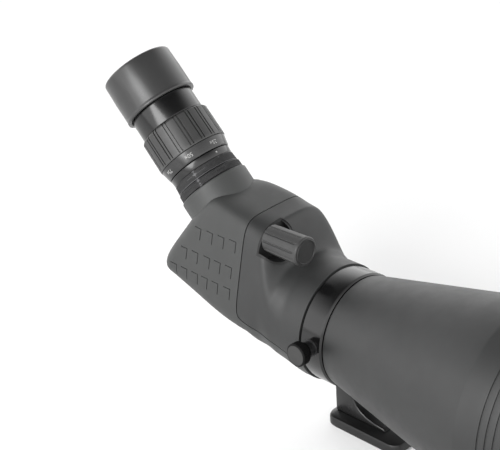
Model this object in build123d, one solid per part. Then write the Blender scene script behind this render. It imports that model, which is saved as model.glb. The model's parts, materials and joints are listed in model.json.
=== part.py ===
from build123d import *
import math
import os

os.makedirs("parts", exist_ok=True)

# Angled zoom spotting scope, 25-75x100, with a rotating tripod collar.
# Working frame: X runs forward along the barrel, Z is up, Y is to the left.
# Its origin is on the barrel axis at the rear edge of the tripod collar.
# PLACE moves everything so that the tripod thread mouth is the origin.

FOOT_X = 28.0            # tripod thread, forward of the collar's rear edge
AXIS_H = 68.0            # barrel axis above the underside of the foot
PLACE = Location((-FOOT_X, 0, AXIS_H))

# tripod collar
COLLAR_R = 37.0
COLLAR_BORE = 34.85
COLLAR_X0 = 0.2
COLLAR_X1 = 16.4
JOURNAL_R = 34.0         # bearing tube under the collar
TUBE_X0 = -15.0          # rear end of the bearing tube, inside the housing
TUBE_BORE = 30.2         # bore that guides the focusing cell
LOCK_X = 8.3
LOCK_TILT = 4.0          # lock knob sits this many degrees above level

# foot
FOOT_X0 = -1.0
FOOT_X1 = 57.0
FOOT_W = 34.0
FOOT_TOP = -60.0
FOOT_BASE = -66.8
PAD_BASE = -68.0
THREAD_R = 2.55          # wall of the 1/4-20 thread

# housing
ARMOUR = 1.7             # rubber thickness
WALL = 1.4               # cast wall under the rubber
FIT = 0.08               # glue line between rubber and metal
SEAM_X = -53.0

# barrel and objective
CONE_X0 = 17.2
CONE_X1 = 127.0
CONE_SLOPE = 0.2
CONE_R0 = 34.1           # metal tube outside radius at CONE_X0
FRONT_R = CONE_R0 + CONE_SLOPE * (CONE_X1 - CONE_X0)
TUBE_WALL = 1.8
BARREL_RUBBER = 1.9
TUBE_END = 228.0
CELL_END = 262.0
GLASS_R = 51.9
SHADE_X0 = 174.5
SHADE_X1 = 268.0
SHADE_IN = FRONT_R + 1.2
SHADE_OUT = SHADE_IN + 2.8

# focus knob, whose own stations are measured from KNOB_X
KNOB_X = -0.5
KNOB_Y = -18.3
KNOB_Z = 54.2
KNOB_X0 = -37.9
KNOB_R = 9.5
FLUTES = 10
FLUTE_START = 4.8        # degrees from the top of the knob to its first flute
POCKET_R = 12.8
POCKET_X = -38.4
ROD_R = 2.0

# eyepiece, measured along its own axis from the fold of the light path
EYE_X = -45.0
EYE_ANGLE = 45.0
NECK_R = 24.0
SLEEVE_IN = 14.0
SLEEVE_OUT = 15.8
CAM_OUT = 17.6
ZOOM_END = 136.5         # rear end of the zoom ring
ZOOM_TURN = 95.0         # degrees from 25x to 75x
ZOOM_STEP = 5.0          # travel of each zoom cell
CUP_TURN = 100.0
CUP_TRAVEL = 10.0

C45 = math.cos(math.radians(EYE_ANGLE))
EYE = Plane(origin=(EYE_X, 0, 0), x_dir=(-C45, 0, C45), z_dir=(-C45, 0, -C45))
LOCK_C = math.cos(math.radians(LOCK_TILT))
LOCK_S = math.sin(math.radians(LOCK_TILT))
LOCK = Plane(origin=(LOCK_X, 0, 0), x_dir=(0, -LOCK_C, LOCK_S), z_dir=(1, 0, 0))
KNOB = Pos(KNOB_X, KNOB_Y, KNOB_Z)


def turned(points):
    """Solid of revolution about X from a closed (x, r) outline."""
    face = make_face(Polyline(*points, close=True))
    return revolve(face, Axis.X, 360)


def ring(x0, x1, r_in, r_out, edge=0.0):
    e = edge
    return turned([
        (x0, r_in), (x0, r_out - e), (x0 + e, r_out),
        (x1 - e, r_out), (x1, r_out - e), (x1, r_in),
    ]) if e else turned([(x0, r_in), (x0, r_out), (x1, r_out), (x1, r_in)])


def rod_x(x0, x1, r, y=0.0, z=0.0):
    return Pos((x0 + x1) / 2, y, z) * (Rot(0, 90, 0) * Cylinder(r, x1 - x0))


def block(x0, x1, y0, y1, z0, z1):
    return Pos((x0 + x1) / 2, (y0 + y1) / 2, (z0 + z1) / 2) * Box(x1 - x0, y1 - y0, z1 - z0)


def side_plate(points, y0, y1):
    """Plate with an outline in the XZ plane, from y0 to y1."""
    face = make_face(Polyline(*[(x, 0, z) for x, z in points], close=True))
    return Pos(0, y0, 0) * extrude(face, amount=y1 - y0, dir=(0, 1, 0))


def sag(radius, depth, at):
    """Height of a spherical surface at a distance from the rim plane."""
    big = (radius ** 2 + depth ** 2) / (2 * abs(depth))
    return math.copysign(math.sqrt(big ** 2 - at ** 2) - (big - abs(depth)), depth)


def lens(x0, bulge0, x1, bulge1, radius):
    """Lens from edge x0 to edge x1. A positive bulge swells outward."""
    half = radius / 2
    rear_mid = (x0 - sag(radius, bulge0, half), half)
    front_mid = (x1 + sag(radius, bulge1, half), half)
    outline = [
        ThreePointArc((x0 - bulge0, 0), rear_mid, (x0, radius)),
        Line((x0, radius), (x1, radius)),
        ThreePointArc((x1, radius), front_mid, (x1 + bulge1, 0)),
        Line((x1 + bulge1, 0), (x0 - bulge0, 0)),
    ]
    return revolve(make_face(outline), Axis.X, 360)


def pin_at(t, angle, r0, r1, radius):
    """Round pin standing radially on the X axis."""
    pin = Pos(t, 0, (r0 + r1) / 2) * Cylinder(radius, r1 - r0)
    return Rot(angle, 0, 0) * pin


def slot_path(t0, a0, t1, a1, r0, r1, half_width, steps):
    """Cutter for a slot round a tube, as a run of overlapping short bars."""
    cutter = None
    for k in range(steps + 1):
        f = k / steps
        bar = pin_at(t0 + f * (t1 - t0), a0 + f * (a1 - a0), r0, r1, half_width)
        cutter = bar if cutter is None else cutter + bar
    return cutter


# ---------------------------------------------------------------- housing

NECK_TOP = 38.0          # round neck behind the collar
FACE_TOP_X = -82.6       # where the rear rounding starts, above and below
FACE_LOW_X = -122.5
REAR_ROUND = 10.0
ROUND_STEPS = (0, 30, 60, 88)
BODY_STEPS = 13
SIDE_LEVEL = 12.0        # height at which the half width is given
LEAN = 14.0              # the sides lean in towards the top by this much
AROUND = 36


def ease(x, start, end):
    """Smooth step from 0 to 1 as x goes from start to end."""
    f = min(1.0, max(0.0, (x - start) / (end - start)))
    return f * f * (3 - 2 * f)


def top_of(x):
    return NECK_TOP + 24.6 * ease(x, -24.4, -38.8) + 5.2 * ease(x, -30, -82)


def bottom_of(x):
    return -NECK_TOP + 19.4 * ease(x, -6, -48.4) + 0.29 * max(0.0, -35.0 - x) * ease(x, -35, -50)


def section(x_top, x_low, inset):
    """Smooth closed outline of the housing where it is cut from top to bottom."""
    zt = top_of(x_top)
    zb = bottom_of(x_low)
    mx = (x_top + x_low) / 2
    mz = (zt + zb) / 2
    tall = math.hypot(x_top - x_low, zt - zb)
    vx = (x_top - x_low) / tall
    vz = (zt - zb) / tall
    lean = LEAN * ease(mx, -10, -48)
    half = NECK_TOP + 0.5 * ease(mx, -10, -50) - 1.6 * ease(mx, -60, -125)
    p_top = 2.0 + 6.9 * ease(mx, -14.9, -62)
    p_low = 2.0 + 2.5 * ease(mx, -18.7, -80)
    reach = tall / 2 - inset
    ny = math.cos(math.radians(lean))
    nz = math.sin(math.radians(lean))
    wide = half * ny + (SIDE_LEVEL * lean / LEAN - mz) * nz - inset
    points = []
    for k in range(AROUND):
        a = 2 * math.pi * k / AROUND
        dy = math.cos(a)
        dz = math.sin(a)
        p = p_top if dz > 0 else p_low
        total = (abs(dz) / reach) ** p
        for s in (-1, 1):
            across = s * dy * ny + dz * nz
            if across > 1e-9:
                total += (across / wide) ** p
        r = total ** (-1 / p)
        points.append((mx + r * dz * vx, r * dy, mz + r * dz * vz))
    return Spline(*points, periodic=True)


def housing_solid(inset):
    """Whole outside shape of the housing, moved in by an inset."""
    outlines = []
    for k in range(BODY_STEPS):
        mx = -0.5 + k / BODY_STEPS * ((FACE_TOP_X + FACE_LOW_X) / 2 + 0.5)
        fan = (FACE_TOP_X - FACE_LOW_X) / 2 * max(0.0, (-50.0 - mx) / 52.5) ** 2
        outlines.append(section(mx + fan, mx - fan, inset))
    radius = REAR_ROUND - inset
    for deg in ROUND_STEPS:
        s = radius * math.sin(math.radians(deg))
        shrink = radius * (1 - math.cos(math.radians(deg)))
        outlines.append(section(FACE_TOP_X - 1.156 * s, FACE_LOW_X - 1.024 * s, inset + shrink))
    return loft([make_face(o) for o in outlines])


def pocket(radius, x0):
    return KNOB * rod_x(x0, 12, radius)


def seam_zone(gap):
    """Everything that belongs to the rear cover, grown by a gap."""
    g = gap
    outline = [
        (-160, 100), (SEAM_X + g, 100), (SEAM_X + g, 5.5), (SEAM_X + 1.2 + g, 2.0 + g),
        (SEAM_X + 4.5, 0.0 + g), (-33.2, -4.2 + g), (-21.9, -7.4 + g), (-11.9, -10.7 + g),
        (8, -17.0 + g), (8, -80), (-160, -80),
    ]
    return side_plate(outline, -60, 60)


OUTER = housing_solid(0.0)
UNDER = housing_solid(ARMOUR)
METAL = housing_solid(ARMOUR + FIT)
INNER = housing_solid(ARMOUR + FIT + WALL)
TRIM = housing_solid(ARMOUR + FIT + WALL + 0.3)


def neck_hole(radius):
    return EYE.location * rod_x(50, 120, radius)


def armour_shell():
    shell = OUTER - UNDER
    shell = shell - neck_hole(NECK_R + 0.05)
    return shell - pocket(POCKET_R + 1.5, POCKET_X - 1.5)


def rear_cover():
    return armour_shell() & seam_zone(0.0)


def front_cover():
    return armour_shell() - seam_zone(0.55)


def main_housing():
    cup = pocket(POCKET_R + 1.45, POCKET_X - 1.45) & METAL
    shell = (METAL - INNER) + cup
    lip = (pocket(POCKET_R + 1.45, POCKET_X - 1.45) & OUTER) - METAL
    shell = shell + lip
    shell = shell - pocket(POCKET_R, POCKET_X)
    shell = shell - neck_hole(NECK_R + 0.05)
    shell = shell - rod_x(-30, 5, JOURNAL_R + 0.02)
    return shell - KNOB * rod_x(-45, -30, 3.35) - KNOB * rod_x(-60, -44, 2.5)


def eyepiece_neck():
    body = turned([
        (66, 20.0), (66, NECK_R - 0.6), (66.6, NECK_R), (88.2, NECK_R), (88.7, NECK_R - 0.5),
        (88.7, 21.0), (93.3, 21.0), (93.6, 20.7), (93.6, 20.0),
    ])
    return EYE.location * body


# ---------------------------------------------------------------- prism

APEX_Z = 36.0
FACE = 48.0
ENTRY_X = EYE_X + math.tan(math.radians(22.5)) * APEX_Z
PRISM_A = (ENTRY_X, APEX_Z)
PRISM_B = (ENTRY_X, APEX_Z - FACE)
PRISM_C = (ENTRY_X - FACE * C45, APEX_Z - FACE * C45)
PRISM_HALF = 17.0
ROOF = 5.0


def prism():
    bx, bz = PRISM_B
    cx, cz = PRISM_C
    more = 16.0
    outline = [PRISM_A, (bx, bz - more), (cx - more, cz - more)]
    body = side_plate(outline, -PRISM_HALF, PRISM_HALF)
    length = math.hypot(cx - bx, cz - bz)
    ux = (cx - bx) / length
    uz = (cz - bz) / length
    down = Plane(origin=(bx, 0, bz), x_dir=(0, 1, 0), z_dir=(ux, 0, uz))
    sign = 1.0 if down.y_dir.Z > 0 else -1.0
    top = 80.0 * sign
    low = ROOF * sign
    edge = (ROOF - PRISM_HALF - 1) * sign
    h = PRISM_HALF + 1
    wedge = make_face(Polyline((-h, top), (h, top), (h, -edge), (0, -low), (-h, -edge), close=True))
    keep = extrude(down * wedge, amount=length * 2, both=True)
    return body & keep


def prism_cradle():
    ax, az = PRISM_A
    cx, cz = PRISM_C
    disc = rod_x(ENTRY_X + 0.1, ENTRY_X + 3.1, 33.4) & TRIM
    disc = disc - rod_x(-40, -20, 16.2)
    disc = disc - block(-40, -20, -34, -22.6, -7, 11)
    cheek = [(ax + 0.2, az - 0.2), (ax + 0.2, PRISM_B[1] - 3), (cx - 1.5, cz - 1.7)]
    body = disc
    for s in (-1, 1):
        y0 = min(s * 17.1, s * 19.0)
        plate = side_plate(cheek, y0, y0 + 1.9)
        plate = plate - Pos(-43, s * 18, 10) * (Rot(90, 0, 0) * Cylinder(7, 6))
        body = body + plate
    for y, z in screw_spots():
        body = body + rod_x(ENTRY_X + 3.0, TUBE_X0 - 0.05, 2.5, y, z)
    return body - CRADLE_HOLES


SCREW_SPOTS = [(32.2, 22), (32.2, 47), (32.2, 133), (32.2, 158)]


def screw_spots():
    for r, deg in SCREW_SPOTS:
        yield r * math.cos(math.radians(deg)), r * math.sin(math.radians(deg))


CRADLE_HOLES = Compound([rod_x(-40, -9, 1.25, y, z) for y, z in screw_spots()])


def cradle_screws():
    out = []
    for y, z in screw_spots():
        shank = rod_x(ENTRY_X + 0.1, -9.5, 1.2, y, z)
        head = rod_x(ENTRY_X - 1.9, ENTRY_X + 0.1, 2.1, y, z)
        socket = rod_x(ENTRY_X - 2.0, ENTRY_X - 0.9, 0.9, y, z)
        out.append(shank + head - socket)
    return Compound(out)


def prism_clamp():
    strip = block(0.05, 1.3, -20.4, 20.4, -9.0, -1.5)
    lugs = block(-4, 1.3, -20.4, -19.1, -9.0, -1.5) + block(-4, 1.3, 19.1, 20.4, -9.0, -1.5)
    top = Plane(origin=(PRISM_A[0], 0, PRISM_A[1]), x_dir=(-C45, 0, C45), z_dir=(C45, 0, C45))
    return top.location * (strip + lugs)


# ---------------------------------------------------------------- collar

def lock_local(shape):
    return LOCK.location * shape


def collar_ring():
    band = turned([
        (COLLAR_X0, COLLAR_BORE), (COLLAR_X0, COLLAR_R - 0.3), (COLLAR_X0 + 0.3, COLLAR_R),
        (COLLAR_X1 - 0.9, COLLAR_R), (COLLAR_X1, COLLAR_R - 0.9), (COLLAR_X1, COLLAR_BORE),
    ])
    outline = [
        (1.2, -30), (15.2, -30), (15.2, -43), (18.5, -50.5), (26, -55.5), (40, -58),
        (42, FOOT_TOP), (1.2, FOOT_TOP),
    ]
    pillar = side_plate(outline, -9, 9)
    pillar = fillet(pillar.edges().filter_by(Axis.Z), 3.0)
    body = band + pillar
    body = body - rod_x(-5, 20, COLLAR_BORE)
    body = body - lock_local(rod_x(30, 36.65, 3.55))
    body = body - lock_local(rod_x(33, 40, 3.55))
    body = body - lock_local(rod_x(36.6, 40, 5.55))
    body = body - Pos(FOOT_X, 0, -58.4) * Cylinder(4.55, 4)
    for x, y in FOOT_SCREWS:
        body = body - Pos(x, y, -56) * Cylinder(1.95, 12)
    return body


def collar_liner():
    body = ring(COLLAR_X0 + 0.4, COLLAR_X1 - 0.4, JOURNAL_R + 0.06, COLLAR_BORE - 0.02)
    return body - lock_local(rod_x(30, 40, 3.55))


FOOT_SCREWS = [(8, -5), (8, 5)]


def collar_foot():
    body = block(FOOT_X0, FOOT_X1, -FOOT_W / 2, FOOT_W / 2, FOOT_BASE, FOOT_TOP)
    body = fillet(body.edges().filter_by(Axis.Z), 7.0)
    body = chamfer(body.faces().sort_by(Axis.Z)[-1].edges(), 1.2)
    body = body - Pos(FOOT_X, 0, -63) * Cylinder(4.55, 20)
    for x, y in FOOT_SCREWS:
        body = body - Pos(x, y, -63) * Cylinder(1.95, 20)
        body = body - Pos(x, y, -66) * Cylinder(3.5, 5)
    return body


def foot_screws():
    out = []
    for x, y in FOOT_SCREWS:
        shank = Pos(x, y, -57.2) * Cylinder(1.9, 12.4)
        head = Pos(x, y, -64.9) * Cylinder(3.3, 2.8)
        socket = Pos(x, y, -65.9) * extrude(RegularPolygon(1.6, 6), 1.6, both=True)
        out.append(shank + head - socket)
    return Compound(out)


def foot_pad():
    body = block(FOOT_X0 + 1.5, FOOT_X1 - 1.5, -15.5, 15.5, PAD_BASE, FOOT_BASE)
    body = fillet(body.edges().filter_by(Axis.Z), 6.0)
    for k in range(9):
        x = FOOT_X0 + 5.5 + k * 5.9
        if abs(x - FOOT_X) > 8.5:
            body = body - block(x - 0.6, x + 0.6, -12, 12, PAD_BASE - 1, PAD_BASE + 0.5)
    return body - Pos(FOOT_X, 0, -67) * Cylinder(6.3, 6)


def thread_insert():
    flange = Pos(FOOT_X, 0, (PAD_BASE + FOOT_BASE) / 2) * Cylinder(6.2, FOOT_BASE - PAD_BASE)
    body = Pos(FOOT_X, 0, (PAD_BASE - 56.6) / 2) * Cylinder(4.5, -56.6 - PAD_BASE)
    hole = Pos(FOOT_X, 0, (PAD_BASE - 58.0) / 2 - 1) * Cylinder(THREAD_R, -58.0 - PAD_BASE + 2)
    return flange + body - hole


def lock_bushing():
    body = turned([
        (36.15, 2.55), (36.15, 3.5), (36.62, 3.5), (36.62, 5.5), (37.6, 5.5),
        (37.6, 4.6), (41.0, 4.6), (41.0, 2.55),
    ])
    return lock_local(body)


def brake_shoe():
    body = lock_local(rod_x(30, 35.3, 3.45))
    return body - rod_x(-10, 30, JOURNAL_R + 0.06)


def lock_screw():
    return lock_local(rod_x(35.32, 47.9, 2.5))


def lock_washer():
    return lock_local(ring(41.05, 41.75, 2.55, 5.4, 0.15))


def lock_knob():
    body = turned([
        (41.8, 2.52), (41.8, 5.0), (44.2, 5.0), (44.2, 6.7), (44.8, 7.4),
        (49.7, 7.4), (50.3, 6.8), (50.3, 0), (48.0, 0), (48.0, 2.52),
    ])
    for k in range(24):
        groove = rod_x(44.0, 49.3, 0.42)
        body = body - Rot(k * 15, 0, 0) * Pos(0, 0, 7.5) * groove
    return lock_local(body)


# ---------------------------------------------------------------- barrel

def cone_r(x):
    return CONE_R0 + CONE_SLOPE * (min(x, CONE_X1) - CONE_X0)


def bearing_tube():
    body = turned([
        (TUBE_X0, TUBE_BORE), (TUBE_X0, 33.95), (-0.4, 33.95), (-0.4, JOURNAL_R),
        (17.0, JOURNAL_R), (17.0, 32.3), (30, 32.3), (30, TUBE_BORE),
    ])
    return body - CRADLE_HOLES


def barrel_tube():
    t = TUBE_WALL
    body = turned([
        (CONE_X0, 32.35), (CONE_X0, CONE_R0), (CONE_X1, FRONT_R), (TUBE_END, FRONT_R),
        (TUBE_END, FRONT_R - t), (CONE_X1, FRONT_R - t),
        (31, cone_r(31) - t), (31, 32.35),
    ])
    for x in (177.9, 212.9):
        body = body - ring(x, x + 4.2, FRONT_R - 0.5, FRONT_R + 2)
    return body


def barrel_armour():
    g = BARREL_RUBBER
    f = FIT
    body = turned([
        (CONE_X0 - 0.1, CONE_R0 + f), (CONE_X0 - 0.1, CONE_R0 + g - 0.7),
        (CONE_X0 + 0.6, CONE_R0 + g), (CONE_X1 + 2, FRONT_R + g + 0.3), (171, FRONT_R + g + 0.3),
        (173, FRONT_R + g - 0.5), (173, FRONT_R + f), (CONE_X1, FRONT_R + f),
    ])
    for x in (146.0, 151.0, 156.0, 161.0, 166.0):
        body = body - ring(x, x + 1.2, FRONT_R + g - 0.4, FRONT_R + g + 3)
    return body


BAFFLES = [(62.0, 33.5), (100.0, 38.0), (152.0, 43.0)]


def barrel_baffles():
    out = []
    for x, inner in BAFFLES:
        outer = cone_r(x) - TUBE_WALL - 0.02
        slope = CONE_SLOPE if x < CONE_X1 else 0.0
        out.append(turned([
            (x, outer), (x - 3.5, outer - 3.5 * slope), (x - 3.5, outer - 3.5 * slope - 1.0),
            (x - 1.1, outer - 2.2), (x - 0.2, inner), (x, inner),
        ]))
    return Compound(out)


def objective_cell():
    body = turned([
        (218, 49.6), (218, 54.2), (220.6, 54.2), (220.6, 52.6), (223.0, 52.6), (223.0, 54.2),
        (TUBE_END + 0.05, 54.2), (TUBE_END + 0.05, FRONT_R - 0.2), (TUBE_END + 0.4, FRONT_R),
        (CELL_END - 0.8, FRONT_R), (CELL_END, FRONT_R - 0.8), (CELL_END, 54.6),
        (250.5, 52.65), (242.7, 52.65), (242.7, GLASS_R + 0.05), (224, GLASS_R + 0.05),
        (224, 49.6),
    ])
    return body - ring(231.9, 236.1, FRONT_R - 0.5, FRONT_R + 2)


def objective_seal():
    circle = Pos(221.8, 53.41) * Circle(0.78)
    return revolve(circle, Axis.X, 360)


def rear_objective_lens():
    return lens(224.2, 1.2, 229.5, -3.4, GLASS_R)


def lens_spacer():
    return ring(229.55, 233.45, 50.2, GLASS_R)


def front_objective_lens():
    return lens(233.75, 3.2, 242.5, 5.0, GLASS_R)


def objective_ring():
    body = turned([
        (242.95, 50.0), (242.95, 52.6), (248.0, 52.6), (248.0, 51.6), (245.5, 50.0),
    ])
    for deg in (0, 180):
        notch = block(246.4, 249, -1.5, 1.5, 49, 54)
        body = body - Rot(deg, 0, 0) * notch
    return body


def slide_rings():
    out = []
    for x in (178.0, 232.0):
        out.append(ring(x, x + 4.0, FRONT_R - 0.48, SHADE_IN - 0.06))
    return Compound(out)


def sunshade():
    body = turned([
        (SHADE_X0, FRONT_R + 0.35), (SHADE_X0, SHADE_OUT - 0.8), (SHADE_X0 + 0.8, SHADE_OUT),
        (SHADE_X1 - 7, SHADE_OUT), (SHADE_X1 - 6, SHADE_OUT + 0.7), (SHADE_X1 - 1, SHADE_OUT + 0.7),
        (SHADE_X1, SHADE_OUT - 0.3), (SHADE_X1, SHADE_IN + 0.5), (SHADE_X1 - 0.5, SHADE_IN),
        (SHADE_X0 + 2.6, SHADE_IN), (SHADE_X0 + 2.6, FRONT_R + 0.35),
    ])
    for x in (190.0, 194.0, 198.0, 202.0, 206.0):
        body = body - ring(x, x + 1.6, SHADE_OUT - 0.6, SHADE_OUT + 3)
    return body


# ---------------------------------------------------------------- focus

def focus_bushing():
    body = turned([
        (-40.6, ROD_R + 0.05), (-40.6, 3.3), (POCKET_X + 0.03, 3.3), (POCKET_X + 0.03, 6.0),
        (POCKET_X + 0.4, 6.0), (POCKET_X + 0.4, 4.5), (-28.0, 4.5), (-28.0, ROD_R + 0.05),
    ])
    groove = ring(-32.6, -31.0, 3.9, 6)
    return KNOB * (body - groove)


def focus_seal():
    circle = Pos(-31.8, 4.22) * Circle(0.3)
    return KNOB * revolve(circle, Axis.X, 360)


def focus_knob_core():
    body = turned([
        (KNOB_X0, 4.56), (KNOB_X0, 7.6), (-12.0, 7.6), (-12.0, 8.0), (-9.9, 8.0), (-9.9, 2.6),
        (-20.5, 2.6), (-20.5, ROD_R + 0.05), (-27.5, ROD_R + 0.05), (-27.5, 4.56),
    ])
    return KNOB * body


def focus_knob_grip():
    body = turned([
        (KNOB_X0, 7.63), (KNOB_X0, 8.3), (KNOB_X0 + 0.8, 8.9), (-13.4, KNOB_R - 0.1),
        (-10.2, KNOB_R), (-8.9, 9.1), (-8.9, 8.03), (-12.05, 8.03), (-12.05, 7.63),
    ])
    for k in range(FLUTES):
        flute = rod_x(KNOB_X0 - 1, -11.6, 0.6)
        body = body - Rot(k * 360 / FLUTES + FLUTE_START, 0, 0) * Pos(0, 0, 9.1) * flute
    return KNOB * body


def focus_knob_cap():
    body = turned([
        (-9.85, 0), (-9.85, 8.0), (-8.6, 8.0), (-8.2, 7.6), (-8.2, 6.9), (-8.7, 6.5), (-8.7, 0),
    ])
    return KNOB * body


ARM_X0 = -51.8
ARM_X1 = -47.8


def focus_rod():
    return rod_x(ARM_X0 + 0.2, KNOB_X - 18.5, ROD_R, KNOB_Y, KNOB_Z)


def focus_arm():
    boss = rod_x(ARM_X0, ARM_X1, 2.95, KNOB_Y, KNOB_Z)
    outline = [
        (KNOB_Y - 1.6, KNOB_Z - 1.5), (KNOB_Y + 2.2, KNOB_Z + 1.0), (-19.6, 40), (-22.6, 30),
        (-22.6, -4), (-28.2, -4), (-28.2, 30), (-26.2, 45),
    ]
    web = make_face(Polyline(*[(ARM_X0, y, z) for y, z in outline], close=True))
    upright = extrude(web, amount=ARM_X1 - ARM_X0, dir=(1, 0, 0))
    rail = block(ARM_X0, -6.5, -28.2, -24.2, -4, 8) & rod_x(-60, 0, 29.9)
    body = (boss + upright + rail) & TRIM
    return body - rod_x(ARM_X0 + 0.15, ARM_X1 + 1, ROD_R + 0.01, KNOB_Y, KNOB_Z)


def focus_cell():
    body = turned([
        (-6.4, 25.5), (-6.4, TUBE_BORE - 0.25), (-6.0, TUBE_BORE - 0.05), (8.6, TUBE_BORE - 0.05),
        (9.0, TUBE_BORE - 0.4), (9.0, 28.3), (-3.5, 28.3), (-3.5, 25.5),
    ])
    return body


def focus_lens():
    return lens(-3.0, 2.2, 2.6, -2.6, 28.25)


def focus_lens_ring():
    return ring(2.65, 5.4, 26.2, 28.25)


# ---------------------------------------------------------------- eyepiece

def on_eye(shape):
    return EYE.location * shape


def eyepiece_lock_ring():
    body = ring(88.9, 93.85, 21.12, 22.95, 0.4)
    for k in range(3):
        body = body - Rot(k * 120, 0, 0) * Pos(91.4, 0, 22.9) * Box(1.6, 1.6, 0.6)
    return on_eye(body)


def eyepiece_flange():
    body = turned([
        (78, SLEEVE_OUT + 0.05), (78, 19.6), (78.4, 19.95), (94.05, 19.95), (94.05, 21.9),
        (94.45, 22.3), (99.9, 22.3), (100.3, 21.9), (100.3, SLEEVE_OUT + 0.05),
    ])
    return on_eye(body)


def index_ring():
    body = turned([
        (100.35, 18.0), (100.35, 21.5), (105.1, 22.1), (105.4, 21.8), (105.4, 18.0),
    ])
    return on_eye(body)


PIN_A = 104.0
PIN_B = 126.0


def eyepiece_sleeve():
    body = ring(80, 160, SLEEVE_IN, SLEEVE_OUT)
    for deg in (0, 180):
        lane = block(PIN_A - 1.6, PIN_B + 1.6, -1.1, 1.1, 10, 20)
        body = body - Rot(deg, 0, 0) * lane
    return on_eye(body)


def zoom_cam_sleeve():
    body = ring(101.0, ZOOM_END - 0.2, SLEEVE_OUT + 0.08, CAM_OUT)
    for deg in (0, 180):
        up = slot_path(PIN_A, deg, PIN_A + ZOOM_STEP, deg - ZOOM_TURN, 15, 19, 1.15, 36)
        body = body - up
        down = slot_path(PIN_B, deg, PIN_B - ZOOM_STEP, deg - ZOOM_TURN, 15, 19, 1.15, 36)
        body = body - down
    return on_eye(body)


def zoom_number_ring():
    body = turned([
        (105.6, CAM_OUT + 0.03), (105.6, 22.1), (106.0, 22.5), (113.0, 23.9), (113.2, 23.7),
        (113.2, 21.0), (ZOOM_END - 0.2, 21.0), (ZOOM_END - 0.2, CAM_OUT + 0.03),
    ])
    return on_eye(body)


def zoom_grip():
    body = turned([
        (113.25, 21.03), (113.25, 24.1), (113.6, 24.4), (ZOOM_END - 1.4, 24.3), (ZOOM_END, 23.2),
        (ZOOM_END, 21.03),
    ])
    for k in range(18):
        for off in (-2.6, 2.6):
            flute = block(114.4, ZOOM_END + 1, -0.38, 0.38, 23.9, 24.8)
            body = body - Rot(k * 20 + off, 0, 0) * flute
    return on_eye(body)


def zoom_cell(pin_t):
    body = turned([
        (pin_t - 5, 10.6), (pin_t - 5, 13.6), (pin_t - 4.7, SLEEVE_IN - 0.05),
        (pin_t + 4.7, SLEEVE_IN - 0.05), (pin_t + 5, 13.6), (pin_t + 5, 12.0),
        (pin_t - 3.5, 12.0), (pin_t - 3.5, 10.6),
    ])
    for deg in (0, 180):
        body = body + pin_at(pin_t, deg, 12.5, CAM_OUT - 0.1, 1.0)
    return on_eye(body)


def zoom_cell_lower():
    return zoom_cell(PIN_A)


def zoom_cell_upper():
    return zoom_cell(PIN_B)


def zoom_lens_lower():
    return on_eye(lens(PIN_A - 3.45, -1.2, PIN_A + 2.2, 1.6, 11.95))


def zoom_lens_upper():
    return on_eye(lens(PIN_B - 3.2, 1.0, PIN_B + 2.2, 1.8, 11.95))


def inner_eye_lens():
    return on_eye(lens(142.0, 2.4, 149.0, 3.0, SLEEVE_IN - 0.03))


def eyepiece_barrel():
    x0 = ZOOM_END + 0.3
    body = turned([
        (x0, SLEEVE_OUT + 0.03), (x0, 17.5), (148, 17.5), (148, 20.6), (x0, 20.6),
        (x0, 22.0), (x0 + 0.3, 22.3), (151.6, 22.3), (151.9, 22.0), (151.9, 20.4),
        (168.7, 20.4), (169.0, 20.1), (169.0, 18.65), (161.5, 18.65), (161.5, 16.9),
        (160.1, 16.9), (160.1, SLEEVE_OUT + 0.03),
    ])
    for deg in (0, 180):
        lane = slot_path(163.9, deg, 163.9 - CUP_TRAVEL, deg + CUP_TURN, 19.4, 22, 1.1, 40)
        body = body - lane
        key = block(152.4, 175, -1.6, 1.6, 19.4, 22)
        body = body - Rot(deg - 40, 0, 0) * key
    return on_eye(body)


def eye_lens():
    return on_eye(lens(161.8, 1.2, 165.6, 1.5, 18.6))


def eye_lens_ring():
    return on_eye(ring(166.0, 168.4, 16.6, 18.6, 0.3))


def eyecup_guide():
    body = ring(165.6, 168.6, 20.5, 22.2)
    for deg in (-40, 140):
        key = block(165.6, 168.6, -1.5, 1.5, 19.55, 20.9)
        body = body + Rot(deg, 0, 0) * key
    return on_eye(body)


def eyecup_pin_ring():
    body = ring(162.4, 165.4, 20.6, 22.36)
    for deg in (0, 180):
        body = body + pin_at(163.9, deg, 19.55, 21.0, 1.0)
    return on_eye(body)


def eyecup_sleeve():
    body = turned([
        (152.4, 22.75), (152.4, 23.4), (181.0, 23.4), (181.0, 22.4), (170.4, 22.4),
        (170.4, 20.6), (168.8, 20.6), (168.8, 22.4), (153.0, 22.4),
    ])
    return on_eye(body)


def eyecup_rubber():
    body = turned([
        (151.75, 22.85), (151.75, 24.7), (152.3, 25.15), (153.8, 24.9), (180.0, 24.9),
        (181.9, 24.3), (182.8, 23.2), (183.0, 22.2), (182.7, 21.3), (182.0, 20.9),
        (181.05, 21.2), (181.05, 23.42), (152.35, 23.42), (152.35, 22.85),
    ])
    return on_eye(body)


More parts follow.
